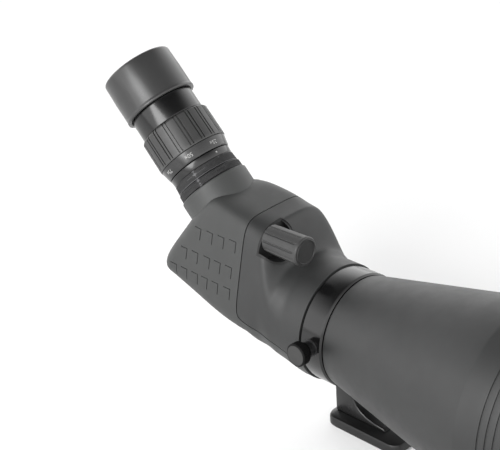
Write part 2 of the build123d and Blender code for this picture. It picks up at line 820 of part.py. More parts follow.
PIECES = [
    collar_ring, collar_liner, collar_foot, foot_screws, foot_pad, thread_insert, lock_bushing,
    brake_shoe, lock_screw, lock_washer, lock_knob,
    bearing_tube, main_housing, rear_cover, front_cover, eyepiece_neck,
    prism, prism_cradle, prism_clamp, cradle_screws,
    barrel_tube, barrel_armour, barrel_baffles, objective_cell, objective_seal,
    rear_objective_lens, lens_spacer, front_objective_lens, objective_ring, slide_rings, sunshade,
    focus_bushing, focus_seal, focus_knob_core, focus_knob_grip, focus_knob_cap,
    focus_rod, focus_arm, focus_cell, focus_lens, focus_lens_ring,
    eyepiece_lock_ring, eyepiece_flange, index_ring, eyepiece_sleeve,
    zoom_cam_sleeve, zoom_number_ring, zoom_grip, zoom_cell_lower, zoom_cell_upper,
    zoom_lens_lower, zoom_lens_upper, inner_eye_lens, eyepiece_barrel, eye_lens, eye_lens_ring,
    eyecup_guide, eyecup_pin_ring, eyecup_sleeve, eyecup_rubber,
]

for make in PIECES:
    export_step(PLACE * make(), "parts/" + make.__name__ + ".step")
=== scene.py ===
import json
import math

import bmesh
import bpy
from mathutils import Matrix, Vector


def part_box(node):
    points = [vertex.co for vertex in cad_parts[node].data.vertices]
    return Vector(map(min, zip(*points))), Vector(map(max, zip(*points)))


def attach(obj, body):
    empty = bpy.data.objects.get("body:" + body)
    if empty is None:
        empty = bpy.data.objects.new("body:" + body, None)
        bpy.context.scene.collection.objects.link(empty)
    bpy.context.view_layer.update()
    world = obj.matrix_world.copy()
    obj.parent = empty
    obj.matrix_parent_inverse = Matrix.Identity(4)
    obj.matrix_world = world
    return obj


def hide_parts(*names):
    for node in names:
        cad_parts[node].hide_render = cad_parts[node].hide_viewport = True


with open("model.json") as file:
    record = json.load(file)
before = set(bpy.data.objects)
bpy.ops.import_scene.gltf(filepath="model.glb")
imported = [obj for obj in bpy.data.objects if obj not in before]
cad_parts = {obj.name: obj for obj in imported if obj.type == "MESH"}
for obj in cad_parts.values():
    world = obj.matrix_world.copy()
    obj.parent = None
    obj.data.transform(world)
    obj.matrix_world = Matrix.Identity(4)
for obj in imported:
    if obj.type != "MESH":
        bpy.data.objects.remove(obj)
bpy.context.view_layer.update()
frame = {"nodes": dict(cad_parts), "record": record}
NODES = frame["nodes"]

# Lengths are in millimetres until a mesh is made. MM turns them into metres.
MM = 0.001
ORIGIN = Vector((-28.0, 0.0, 68.0))     # barrel axis at the collar's rear edge
C45 = math.sqrt(0.5)


# ------------------------------------------------------------------ frames

class Axis:
    """A place with a main direction x; angle 0 looks along up, and grows towards side."""

    def __init__(self, origin, x, up, side):
        self.origin = ORIGIN + Vector(origin)
        self.x = Vector(x).normalized()
        self.up = Vector(up).normalized()
        self.side = Vector(side).normalized()

    def at(self, t, r, angle):
        out = self.up * math.cos(angle) + self.side * math.sin(angle)
        return (self.origin + self.x * t + out * r) * MM

    def xyz(self, t, a, b):
        return (self.origin + self.x * t + self.up * a + self.side * b) * MM


LOCK_TILT = math.radians(4.0)
BARREL = Axis((0, 0, 0), (1, 0, 0), (0, 0, 1), (0, -1, 0))
EYE = Axis((-45.0, 0, 0), (-C45, 0, C45), (C45, 0, C45), (0, 1, 0))
KNOB = Axis((-0.5, -18.3, 54.2), (1, 0, 0), (0, 0, 1), (0, -1, 0))
LOCK = Axis((8.3, 0, 0), (0, -math.cos(LOCK_TILT), math.sin(LOCK_TILT)), (1, 0, 0),
            (0, math.sin(LOCK_TILT), math.cos(LOCK_TILT)))


# --------------------------------------------------------------- mesh tools

def finish_mesh(bm, name, sharp=32.0, weld=2e-7):
    """Welds, orients and shades a bmesh, and returns its new object."""
    bmesh.ops.remove_doubles(bm, verts=bm.verts, dist=weld)
    bmesh.ops.recalc_face_normals(bm, faces=bm.faces)
    limit = math.radians(sharp)
    for f in bm.faces:
        f.smooth = True
    for e in bm.edges:
        if len(e.link_faces) == 2 and e.calc_face_angle(0.0) > limit:
            e.smooth = False
    mesh = bpy.data.meshes.new(name)
    bm.to_mesh(mesh)
    bm.free()
    obj = bpy.data.objects.new(name, mesh)
    bpy.context.scene.collection.objects.link(obj)
    return obj


def dress(obj, material, body, nodes=()):
    obj.data.materials.clear()
    obj.data.materials.append(material)
    if nodes:
        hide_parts(*nodes)
    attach(obj, body)
    return obj


def rounded(outline, steps=4):
    """Replaces each (t, r, radius) corner of a closed outline with an arc."""
    out = []
    n = len(outline)
    for i, corner in enumerate(outline):
        p = Vector(corner[:2])
        radius = corner[2] if len(corner) > 2 else 0.0
        if radius <= 0:
            out.append(tuple(p))
            continue
        a = Vector(outline[i - 1][:2]) - p
        b = Vector(outline[(i + 1) % n][:2]) - p
        half = a.angle(b) / 2
        cut = radius / math.tan(half)
        cut = min(cut, a.length * 0.49, b.length * 0.49)
        start = p + a.normalized() * cut
        end = p + b.normalized() * cut
        for k in range(steps + 1):
            f = k / steps
            q = start * (1 - f) ** 2 + p * 2 * f * (1 - f) + end * f ** 2
            out.append(tuple(q))
    return out


def rows(t0, t1, r0, r1, count):
    """Points along a straight stretch of an outline."""
    return [(t0 + (t1 - t0) * k / count, r0 + (r1 - r0) * k / count) for k in range(count + 1)]


def ring_angles(count):
    return [2 * math.pi * k / count for k in range(count)]


def lathe(name, axis, outline, angles=96, shape=None, sharp=32.0):
    """Turned solid from a closed outline; shape(t, r, angle) may change the radius."""
    if isinstance(angles, int):
        angles = ring_angles(angles)
    points = rounded(outline)
    bm = bmesh.new()
    grid = []
    for a in angles:
        column = []
        for t, r in points:
            radius = shape(t, r, a) if shape and r > 0 else r
            column.append(bm.verts.new(axis.at(t, radius, a)))
        grid.append(column)
    for i, column in enumerate(grid):
        other = grid[(i + 1) % len(grid)]
        for j in range(len(points)):
            k = (j + 1) % len(points)
            if points[j][1] <= 0 and points[k][1] <= 0:
                continue
            bm.faces.new((column[j], column[k], other[k], other[j]))
    bmesh.ops.remove_doubles(bm, verts=bm.verts, dist=2e-7)
    dead = [f for f in bm.faces if f.calc_area() < 1e-16]
    bmesh.ops.delete(bm, geom=dead, context="FACES_ONLY")
    return finish_mesh(bm, name, sharp)


def boolean(obj, cutter, operation):
    """Cuts obj with a cutter, applies the result and removes the cutter."""
    mod = obj.modifiers.new("cut", "BOOLEAN")
    mod.operation = operation
    mod.solver = "EXACT"
    mod.object = cutter
    graph = bpy.context.evaluated_depsgraph_get()
    made = bpy.data.meshes.new_from_object(obj.evaluated_get(graph))
    obj.modifiers.clear()
    obj.data = made
    bpy.data.objects.remove(cutter)


def reshade(obj, sharp):
    bm = bmesh.new()
    bm.from_mesh(obj.data)
    limit = math.radians(sharp)
    for f in bm.faces:
        f.smooth = True
    for e in bm.edges:
        steep = len(e.link_faces) == 2 and e.calc_face_angle(0.0) > limit
        e.smooth = not steep
    bm.to_mesh(obj.data)
    bm.free()


def prism_mesh(name, outline, y0, y1):
    """Straight prism across Y with an outline in XZ, in millimetres."""
    bm = bmesh.new()
    low = [bm.verts.new((ORIGIN + Vector((x, y0, z))) * MM) for x, z in outline]
    high = [bm.verts.new((ORIGIN + Vector((x, y1, z))) * MM) for x, z in outline]
    bm.faces.new(low)
    bm.faces.new(high)
    n = len(outline)
    for i in range(n):
        bm.faces.new((low[i], low[(i + 1) % n], high[(i + 1) % n], high[i]))
    return finish_mesh(bm, name)


def bar(name, axis, t0, t1, r, count=96):
    return lathe(name, axis, [(t0, 0), (t0, r), (t1, r), (t1, 0)], count)


# ---------------------------------------------------------------- materials

def base_material(name, roughness, specular=0.5, metallic=0.0):
    mat = bpy.data.materials.new(name)
    mat.use_nodes = True
    shader = mat.node_tree.nodes["Principled BSDF"]
    shader.inputs["Roughness"].default_value = roughness
    shader.inputs["Specular IOR Level"].default_value = specular
    shader.inputs["Metallic"].default_value = metallic
    return mat, mat.node_tree, shader


def node(tree, kind, **values):
    made = tree.nodes.new(kind)
    for key, value in values.items():
        if key in made.inputs:
            made.inputs[key].default_value = value
        else:
            setattr(made, key, value)
    return made


def noise(tree, scale, detail=3.0, stretch=None):
    where = node(tree, "ShaderNodeTexCoord")
    source = where.outputs["Object"]
    if stretch:
        mapping = node(tree, "ShaderNodeMapping")
        mapping.inputs["Scale"].default_value = stretch
        tree.links.new(source, mapping.inputs["Vector"])
        source = mapping.outputs["Vector"]
    tex = node(tree, "ShaderNodeTexNoise", Scale=scale, Detail=detail, Roughness=0.6)
    tree.links.new(source, tex.inputs["Vector"])
    return tex.outputs["Fac"]


def ramp(tree, fac, low, high, start=0.3, end=0.7):
    made = node(tree, "ShaderNodeValToRGB")
    first, last = made.color_ramp.elements
    first.position = start
    last.position = end
    first.color = (*low, 1.0) if not isinstance(low, float) else (low, low, low, 1.0)
    last.color = (*high, 1.0) if not isinstance(high, float) else (high, high, high, 1.0)
    tree.links.new(fac, made.inputs["Fac"])
    return made.outputs["Color"]


def bump(tree, shader, height, strength, distance, before=None):
    made = node(tree, "ShaderNodeBump", Strength=strength, Distance=distance)
    tree.links.new(height, made.inputs["Height"])
    if before:
        tree.links.new(before, made.inputs["Normal"])
    tree.links.new(made.outputs["Normal"], shader.inputs["Normal"])
    return made.outputs["Normal"]


def edge_wear_and_highlight(tree, colour, edge_colour, amount):
    """Mixes a lighter colour in along convex edges; on the knurl ridges it is a painted highlight,
    partly wear.
    """
    geometry = node(tree, "ShaderNodeNewGeometry")
    steep = node(tree, "ShaderNodeMapRange")
    steep.inputs["From Min"].default_value = 0.52
    steep.inputs["From Max"].default_value = 0.62
    steep.inputs["To Max"].default_value = amount
    tree.links.new(geometry.outputs["Pointiness"], steep.inputs["Value"])
    mix = node(tree, "ShaderNodeMix", data_type="RGBA")
    tree.links.new(steep.outputs["Result"], mix.inputs["Factor"])
    tree.links.new(colour, mix.inputs[6])
    mix.inputs[7].default_value = (*edge_colour, 1.0)
    return mix.outputs[2]


RUBBER_GRAIN = 2600.0                   # noise scale of the moulded surface


def rubber(name, low, high, rough_low, rough_high, stipple=0.12):
    """Moulded rubber: fine stipple, faint cloudy colour and sheen changes."""
    mat, tree, shader = base_material(name, 0.5, 0.42)
    cloud = noise(tree, 38.0, 4.0)
    colour = ramp(tree, cloud, low, high)
    tree.links.new(edge_wear_and_highlight(tree, colour, tuple(2.2 * c for c in high), 0.25),
                   shader.inputs["Base Color"])
    tree.links.new(ramp(tree, noise(tree, 95.0, 3.0), rough_low, rough_high),
                   shader.inputs["Roughness"])
    coarse = bump(tree, shader, noise(tree, RUBBER_GRAIN, 2.0), stipple, 0.00006)
    bump(tree, shader, noise(tree, RUBBER_GRAIN * 3.1, 2.0), stipple * 0.7, 0.00003, coarse)
    return mat


def enamel(name, colour, roughness, level=0.5):
    """Smooth paint with a slight orange peel and faint smudges."""
    mat, tree, shader = base_material(name, roughness, level)
    tree.links.new(ramp(tree, noise(tree, 60.0), colour, tuple(c * 1.35 for c in colour)),
                   shader.inputs["Base Color"])
    tree.links.new(ramp(tree, noise(tree, 42.0, 5.0), roughness * 0.8, roughness * 1.35),
                   shader.inputs["Roughness"])
    bump(tree, shader, noise(tree, 900.0, 1.0), 0.05, 0.00003)
    return mat


def metal(name, low, high, roughness, grain=(1.0, 1.0, 1.0), metallic=1.0):
    """Turned or blasted metal with fine streaks along one direction."""
    mat, tree, shader = base_material(name, roughness, 0.5, metallic)
    streak = noise(tree, 700.0, 4.0, grain)
    tree.links.new(ramp(tree, streak, low, high), shader.inputs["Base Color"])
    tree.links.new(ramp(tree, noise(tree, 130.0, 4.0), roughness * 0.75, roughness * 1.3),
                   shader.inputs["Roughness"])
    bump(tree, shader, streak, 0.25, 0.00002)
    return mat


def knurled(name, valley, ridge):
    """Black anodised knurl, lighter along its ridges: a painted highlight on the ridges, partly
    wear.
    """
    mat, tree, shader = base_material(name, 0.45, 0.35, 0.2)
    black = ramp(tree, noise(tree, 300.0, 3.0), valley, tuple(c * 2.0 for c in valley))
    # lighter ridges: painted highlight, partly wear
    tree.links.new(edge_wear_and_highlight(tree, black, ridge, 0.85), shader.inputs["Base Color"])
    tree.links.new(ramp(tree, noise(tree, 130.0, 4.0), 0.40, 0.50), shader.inputs["Roughness"])
    bump(tree, shader, noise(tree, 1500.0, 2.0), 0.1, 0.00002)
    return mat


def glass(name, tint, coat_tint):
    mat, tree, shader = base_material(name, 0.01, 0.6)
    shader.inputs["Transmission Weight"].default_value = 1.0
    shader.inputs["IOR"].default_value = 1.52
    shader.inputs["Coat Weight"].default_value = 0.35
    shader.inputs["Coat Roughness"].default_value = 0.02
    shader.inputs["Coat Tint"].default_value = (*coat_tint, 1.0)
    tree.links.new(ramp(tree, noise(tree, 25.0), tint, tuple(c * 0.97 for c in tint)),
                   shader.inputs["Base Color"])
    return mat


def fabric(name, colour):
    mat, tree, shader = base_material(name, 0.95, 0.2)
    shader.inputs["Sheen Weight"].default_value = 0.5
    tree.links.new(ramp(tree, noise(tree, 1800.0, 5.0), colour, tuple(c * 2.0 for c in colour)),
                   shader.inputs["Base Color"])
    bump(tree, shader, noise(tree, 3500.0, 4.0), 0.6, 0.0002)
    return mat


ARMOUR = rubber("front_rubber", (0.017, 0.0175, 0.0175), (0.021, 0.0215, 0.0215), 0.46, 0.54)
COVER = rubber("rear_rubber", (0.028, 0.029, 0.0285), (0.033, 0.034, 0.0335), 0.48, 0.56)
CUP = rubber("eyecup_rubber", (0.026, 0.026, 0.026), (0.031, 0.031, 0.031), 0.27, 0.33, 0.06)
GRIP = rubber("grip_rubber", (0.026, 0.026, 0.0258), (0.032, 0.032, 0.0318), 0.40, 0.48)
KNOB_RUBBER = rubber("knob_rubber", (0.026, 0.026, 0.026), (0.032, 0.032, 0.032), 0.42, 0.50)
KNOB_FACE = rubber("knob_face", (0.014, 0.014, 0.014), (0.017, 0.017, 0.017), 0.42, 0.50)
GLOSS = enamel("gloss_black", (0.003, 0.003, 0.0031), 0.17)
SATIN = enamel("satin_black", (0.004, 0.004, 0.0041), 0.30)
BAND = enamel("number_band", (0.012, 0.012, 0.0122), 0.20)
# the ridge colour is a painted highlight on the knurl ridges, partly wear
KNURLED = knurled("knurled_black", (0.006, 0.006, 0.0062), (0.13, 0.13, 0.134))
GREY = metal("blasted_grey", (0.10, 0.10, 0.10), (0.15, 0.15, 0.15), 0.5, metallic=0.35)
CAST = enamel("painted_casting", (0.004, 0.004, 0.004), 0.6)
DULL = metal("dull_steel", (0.03, 0.03, 0.031), (0.06, 0.06, 0.062), 0.42, metallic=0.8)
STEEL = metal("bright_steel", (0.5, 0.5, 0.52), (0.72, 0.72, 0.74), 0.22, (1.0, 1.0, 8.0))
BRASS = metal("turned_brass", (0.50, 0.36, 0.13), (0.68, 0.50, 0.22), 0.28, (8.0, 1.0, 1.0))
NYLON = enamel("nylon", (0.45, 0.44, 0.40), 0.5)
FELT = fabric("felt", (0.01, 0.01, 0.01))
SEAL = rubber("seal_rubber", (0.008, 0.008, 0.008), (0.012, 0.012, 0.012), 0.35, 0.45)
LENS = glass("coated_glass", (0.93, 0.97, 0.95), (0.55, 1.0, 0.75))
PRISM = glass("prism_glass", (0.97, 0.98, 0.98), (0.9, 0.95, 1.0))
WHITE = enamel("white_ink", (0.26, 0.26, 0.255), 0.5)
LOCK_BLACK = enamel("lock_black", (0.002, 0.002, 0.002), 0.55, 0.12)
LOCK_FACE = enamel("lock_face", (0.030, 0.030, 0.0295), 0.55, 0.25)

SLOT_LOOK = {
    "armour_rubber": ARMOUR, "cover_rubber": COVER, "gloss_black": GLOSS,
    "satin_black": SATIN, "knurled_black": KNURLED, "grey_metal": GREY, "cast_metal": CAST,
    "steel": STEEL, "brass": BRASS, "knob_rubber": KNOB_RUBBER, "cup_rubber": CUP,
    "nylon": NYLON, "felt": FELT, "seal_rubber": SEAL, "coated_glass": LENS,
    "prism_glass": PRISM,
}


def dress_cad_nodes():
    for part in frame["record"]["subparts"]:
        look = SLOT_LOOK[part["material_slot"]]
        mesh = NODES[part["node"]].data
        mesh.materials.clear()
        mesh.materials.append(look)


# ------------------------------------------------------------------ housing

NECK_TOP = 38.0
FACE_TOP_X = -82.6
FACE_LOW_X = -122.5
REAR_ROUND = 10.0
SIDE_LEVEL = 12.0
LEAN = 14.0
RUBBER_THICK = 1.7
SEAM_X = -53.0
FRONT_X = -0.5
NECK_R = 24.0
ALONG = 110
AROUND = 180


def ease(x, start, end):
    f = min(1.0, max(0.0, (x - start) / (end - start)))
    return f * f * (3 - 2 * f)


def top_of(x):
    return NECK_TOP + 24.6 * ease(x, -24.4, -38.8) + 5.2 * ease(x, -30, -82)


def bottom_of(x):
    return -NECK_TOP + 19.4 * ease(x, -6, -48.4) + 0.29 * max(0.0, -35.0 - x) * ease(x, -35, -50)


def section(x_top, x_low, inset):
    """Ring of points where the housing is cut from top to bottom."""
    zt = top_of(x_top)
    zb = bottom_of(x_low)
    mx = (x_top + x_low) / 2
    mz = (zt + zb) / 2
    tall = math.hypot(x_top - x_low, zt - zb)
    vx = (x_top - x_low) / tall
    vz = (zt - zb) / tall
    lean = LEAN * ease(mx, -10, -48)
    half = NECK_TOP + 0.5 * ease(mx, -10, -50) - 1.6 * ease(mx, -60, -125)
    p_top = 2.0 + 6.9 * ease(mx, -14.9, -62)
    p_low = 2.0 + 2.5 * ease(mx, -18.7, -80)
    reach = tall / 2 - inset
    ny = math.cos(math.radians(lean))
    nz = math.sin(math.radians(lean))
    wide = half * ny + (SIDE_LEVEL * lean / LEAN - mz) * nz - inset
    points = []
    for a in ring_angles(AROUND):
        dy = math.cos(a)
        dz = math.sin(a)
        p = p_top if dz > 0 else p_low
        total = (abs(dz) / reach) ** p
        for s in (-1, 1):
            across = s * dy * ny + dz * nz
            if across > 1e-9:
                total += (across / wide) ** p
        r = total ** (-1 / p)
        points.append(Vector((mx + r * dz * vx, r * dy, mz + r * dz * vz)))
    return points


def housing_rings(inset):
    rings = []
    end = (FACE_TOP_X + FACE_LOW_X) / 2
    for k in range(ALONG):
        mx = FRONT_X + k / ALONG * (end - FRONT_X)
        fan = (FACE_TOP_X - FACE_LOW_X) / 2 * max(0.0, (-50.0 - mx) / 52.5) ** 2
        rings.append(section(mx + fan, mx - fan, inset))
    radius = REAR_ROUND - inset
    for k in range(13):
        turn = math.radians(90 * k / 12)
        s = radius * math.sin(turn)
        shrink = radius * (1 - math.cos(turn))
        rings.append(section(FACE_TOP_X - 1.156 * s, FACE_LOW_X - 1.024 * s, inset + shrink))
    rim = rings[-1]
    middle = sum(rim, Vector()) / AROUND
    for f in (0.8, 0.55, 0.3, 0.1):
        rings.append([middle.lerp(p, f) for p in rim])
    return rings, middle


def skin(bm, inset):
    rings, middle = housing_rings(inset)
    made = [[bm.verts.new((ORIGIN + p) * MM) for p in ring] for ring in rings]
    for lower, upper in zip(made, made[1:]):
        for i in range(AROUND):
            j = (i + 1) % AROUND
            bm.faces.new((lower[i], lower[j], upper[j], upper[i]))
    tip = bm.verts.new((ORIGIN + middle) * MM)
    last = made[-1]
    for i in range(AROUND):
        bm.faces.new((last[i], last[(i + 1) % AROUND], tip))
    return made[0]


def cover_shell():
    bm = bmesh.new()
    outer = skin(bm, 0.0)
    inner = skin(bm, RUBBER_THICK)
    for i in range(AROUND):
        j = (i + 1) % AROUND
        bm.faces.new((outer[i], outer[j], inner[j], inner[i]))
    return finish_mesh(bm, "cover_shell")


def seam_outline(gap):
    g = gap
    return [
        (-170, 110), (SEAM_X + g, 110), (SEAM_X + g, 5.5), (SEAM_X + 1.2 + g, 2.0 + g),
        (SEAM_X + 4.5, 0.0 + g), (-33.2, -4.2 + g), (-21.9, -7.4 + g), (-11.9, -10.7 + g),
        (8, -17.0 + g), (8, -80), (-170, -80),
    ]


# Rows of corner marks on each side of the rear cover: height of the row's
# top, and where the upright strokes stand along the scope.
MARK_ROWS = [
    (48.6, (-91.1, -79.8, -69.1, -58.4), 0.056),
    (32.4, (-101.5, -91.0, -79.8, -69.9, -59.6), 0.014),
    (18.9, (-110.1, -99.8, -89.4, -80.1, -70.1, -59.1), 0.0),
]
MARK_DASH = 6.2
MARK_DROP = 7.4
MARK_WIDE = 0.62
MARK_DEEP = 0.55


def mark_outline(x, top):
    """Corners of one mark, in the XZ plane: a dash with a stroke down its front."""
    w = MARK_WIDE
    return [(x - MARK_DASH, top), (x, top), (x, top - MARK_DROP), (x - w, top - MARK_DROP),
            (x - w, top - w), (x - MARK_DASH, top - w)]


def cut_marks(obj):
    """Engraves every mark into both sides of the rear cover, square to its skin."""
    for s in (-1, 1):
        bm = bmesh.new()
        for middle, places, slope in MARK_ROWS:
            for x in places:
                top = middle + slope * (x + 75)
                inner = []
                outer = []
                for px, pz in mark_outline(x, top):
                    start = (ORIGIN + Vector((px, s * 80.0, pz))) * MM
                    found, skin_at, _, _ = obj.ray_cast(start, Vector((0, -s, 0)))
                    y = skin_at.y if found else 0.0
                    inner.append(bm.verts.new((start.x, y - s * MARK_DEEP * MM, start.z)))
                    outer.append(bm.verts.new((start.x, y + s * 3.0 * MM, start.z)))
                bm.faces.new(inner)
                bm.faces.new(outer)
                for i in range(6):
                    j = (i + 1) % 6
                    bm.faces.new((inner[i], inner[j], outer[j], outer[i]))
        boolean(obj, finish_mesh(bm, "marks"), "DIFFERENCE")


def make_covers():
    shell = cover_shell()
    boolean(shell, bar("neck_cut", EYE, 50, 125, NECK_R + 0.05), "DIFFERENCE")
    boolean(shell, bar("knob_cut", KNOB, -39.9, 12, 14.3), "DIFFERENCE")
    rear = shell.copy()
    rear.data = shell.data.copy()
    bpy.context.scene.collection.objects.link(rear)
    boolean(rear, prism_mesh("rear_zone", seam_outline(0.0), -70, 70), "INTERSECT")
    boolean(shell, prism_mesh("front_zone", seam_outline(0.8), -70, 70), "DIFFERENCE")
    cut_marks(rear)
    for obj, name, look, slot_name, part in (
        (rear, "rear_cover_skin", COVER, "cover_rubber", "rear_cover"),
        (shell, "front_cover_skin", ARMOUR, "armour_rubber", "front_cover"),
    ):
        obj.name = name
        reshade(obj, 28.0)
        dress(obj, look, "scope", (part,))


# ----------------------------------------------------------------- eyepiece

def triangle(x):
    return abs((x % 1.0) * 2 - 1)


def diamond(axis_pitch, count, depth, t0, t1):
    """Radius change of a diamond knurl between two stations."""
    def shape(t, r, a):
        if t < t0 or t > t1:
            return r
        u = a * count / (2 * math.pi)
        v = (t - t0) / axis_pitch
        height = min(triangle(u + v), triangle(u - v))
        edge = min(1.0, (t - t0) / 0.25, (t1 - t) / 0.25)
        return r - depth * (1 - height) * edge
    return shape


KNURLS = 132


def make_knurled_rings():
    lower = [(88.9, 21.12), (88.9, 22.6, 0.1), (89.25, 22.95, 0.1)]
    lower += rows(89.4, 93.35, 23.0, 22.9, 26)
    lower += [(93.5, 22.85, 0.1), (93.85, 22.5, 0.1), (93.85, 21.12)]
    obj = lathe("eyepiece_lock_knurl", EYE, lower, KNURLS * 6,
                diamond(0.98, KNURLS, 0.42, 89.4, 93.35), 60.0)
    dress(obj, KNURLED, "eyepiece_lock", ("eyepiece_lock_ring",))
    upper = [(78, 15.85), (78, 19.6), (78.4, 19.95), (94.05, 19.95), (94.05, 21.9, 0.1),
             (94.4, 22.3, 0.1)]
    upper += rows(94.55, 99.8, 22.3, 21.9, 34)
    upper += [(99.95, 21.85, 0.1), (100.3, 21.5, 0.1), (100.3, 15.85)]
    obj = lathe("eyepiece_flange_knurl", EYE, upper, KNURLS * 6,
                diamond(0.95, KNURLS, 0.40, 94.55, 99.8), 60.0)
    dress(obj, KNURLED, "scope", ("eyepiece_flange",))


RIBS = 18
GROOVE_AT = math.radians(2.7)
GROOVE_HALF = math.radians(0.95)
GROOVE_FLANK = math.radians(0.2)
GROOVE_DEEP = 0.85


def grip_angles():
    """Angles with a column at each edge of the grip's double grooves."""
    out = []
    pitch = 2 * math.pi / RIBS
    for k in range(RIBS):
        middle = k * pitch + pitch / 2
        for s in (-1, 1):
            for off in (-GROOVE_HALF - GROOVE_FLANK, -GROOVE_HALF, 0, GROOVE_HALF,
                        GROOVE_HALF + GROOVE_FLANK):
                out.append(middle + s * GROOVE_AT + off)
        out.append(middle)
        edge = GROOVE_AT + GROOVE_HALF + GROOVE_FLANK
        span = pitch - 2 * edge
        for j in range(1, 8):
            out.append(middle + edge + span * j / 8)
    return sorted(a % (2 * math.pi) for a in out)


def grip_shape(t, r, a):
    if r < 22.5:
        return r
    pitch = 2 * math.pi / RIBS
    local = (a % pitch) - pitch / 2
    off = min(abs(local - GROOVE_AT), abs(local + GROOVE_AT))
    if off > GROOVE_HALF + GROOVE_FLANK * 0.5:
        return r
    fade = min(1.0, max(0.0, (t - 114.3) / 0.5))
    return r - GROOVE_DEEP * fade


ZOOM_END = 136.5


def make_zoom_ring():
    outline = [(113.3, 21.03), (113.3, 24.35, 0.35), (114.2, 24.5), (114.5, 24.5), (114.9, 24.5)]
    outline += rows(116.0, ZOOM_END - 1.9, 24.5, 24.35, 6)
    outline += [(ZOOM_END - 1.2, 24.3, 0.3), (ZOOM_END, 23.2, 0.35), (ZOOM_END, 21.03)]
    obj = lathe("zoom_grip_ribs", EYE, outline, grip_angles(), grip_shape, 28.0)
    dress(obj, GRIP, "zoom_collar", ("zoom_grip",))
    band = [(105.6, 17.63), (105.6, 22.3, 0.25), (106.3, 22.6, 0.3), (113.0, 23.95, 0.2),
            (113.25, 23.6, 0.1), (113.25, 21.0), (ZOOM_END - 0.2, 21.0), (ZOOM_END - 0.2, 17.63)]
    obj = lathe("zoom_band", EYE, band, 160)
    dress(obj, BAND, "zoom_collar", ("zoom_number_ring",))


def band_radius(t):
    return 22.6 + (t - 106.3) * (23.95 - 22.6) / 6.7


def index_dot_axis():
    """A short axis that stands on the index ring, facing outward."""
    made = Axis((0, 0, 0), EYE.up, EYE.x, EYE.side)
    made.origin = EYE.origin + EYE.x * 102.9 + EYE.up * 21.83
    return made


def lettering(words, t_mid, angle, height):
    """Characters laid on the number band, tops towards the body of the scope."""
    font = bpy.data.curves.new("figures", "FONT")
    font.body = words
    font.align_x = "CENTER"
    font.align_y = "CENTER"
    font.size = height * 1.4
    font.space_character = 1.05
    text = bpy.data.objects.new("figures", font)
    bpy.context.scene.collection.objects.link(text)
    graph = bpy.context.evaluated_depsgraph_get()
    mesh = bpy.data.meshes.new_from_object(text.evaluated_get(graph))
    bpy.data.objects.remove(text)
    bm = bmesh.new()
    bm.from_mesh(mesh)
    bmesh.ops.triangulate(bm, faces=bm.faces)
    bmesh.ops.subdivide_edges(bm, edges=bm.edges, cuts=1)
    for v in bm.verts:
        t = t_mid - v.co.y
        r = band_radius(t) + 0.03
        v.co = EYE.at(t, r, angle - v.co.x / r)
    extra = bmesh.ops.extrude_face_region(bm, geom=bm.faces[:])
    middle = EYE.at(t_mid, 0, 0)
    for v in extra["geom"]:
        if isinstance(v, bmesh.types.BMVert):
            out = (v.co - middle)
            out -= EYE.x * out.dot(EYE.x)
            v.co -= out.normalized() * 0.12 * MM
    return bm


def make_figures():
    for k, words in enumerate(("25x", "50x", "75x")):
        bm = lettering(words, 109.4, math.radians(3.0 - 48.0 * k), 2.7)
        obj = finish_mesh(bm, "figure_" + words, 32.0, 1e-8)
        dress(obj, WHITE, "zoom_collar")
    dot = lathe("index_dot", index_dot_axis(), [(-0.2, 0), (-0.2, 0.62), (0.06, 0.62), (0.1, 0.4),
                                               (0.1, 0)], 24)
    dress(dot, WHITE, "scope")


def make_index_ring():
    outline = [(100.35, 18.0), (100.35, 21.4, 0.2), (101.0, 21.65), (104.9, 22.05, 0.25),
               (105.4, 21.7, 0.2), (105.4, 18.0)]
    obj = lathe("index_ring_gloss", EYE, outline, 160)
    dress(obj, GLOSS, "scope", ("index_ring",))


def make_neck():
    outline = [(66, 20.0), (66, NECK_R), (87.9, NECK_R), (88.7, NECK_R - 0.8, 0.5), (88.7, 21.0),
               (93.6, 21.0), (93.6, 20.0)]
    obj = lathe("eyepiece_neck_skin", EYE, outline, 160)
    dress(obj, COVER, "scope", ("eyepiece_neck",))


def make_eyepiece_barrel():
    x0 = ZOOM_END + 0.3
    outline = [(x0, 15.83), (x0, 17.5), (148, 17.5), (148, 20.6), (x0, 20.6),
               (x0, 22.2, 0.3), (x0 + 0.5, 22.35, 0.3), (151.6, 22.3, 0.3), (151.9, 20.4),
               (169.0, 20.4, 0.3), (169.0, 18.65, 0.1), (161.5, 18.65), (161.5, 16.9),
               (160.1, 16.9), (160.1, 15.83)]
    obj = lathe("eyepiece_barrel_gloss", EYE, outline, 160)
    dress(obj, GLOSS, "scope", ("eyepiece_barrel",))


def make_eyecup():
    outline = [(151.75, 22.75, 0.3), (151.75, 25.0, 0.4), (152.9, 25.2, 0.4), (154.2, 24.9, 0.6),
               (168.0, 24.95), (183.0, 24.6, 3.4), (183.0, 20.9, 1.4), (181.05, 21.4, 0.5),
               (181.05, 23.42), (152.4, 23.42), (152.4, 22.75)]
    obj = lathe("eyecup_rubber_skin", EYE, outline, 160)
    dress(obj, CUP, "eyecup", ("eyecup_rubber",))


# ------------------------------------------------------------------- collar

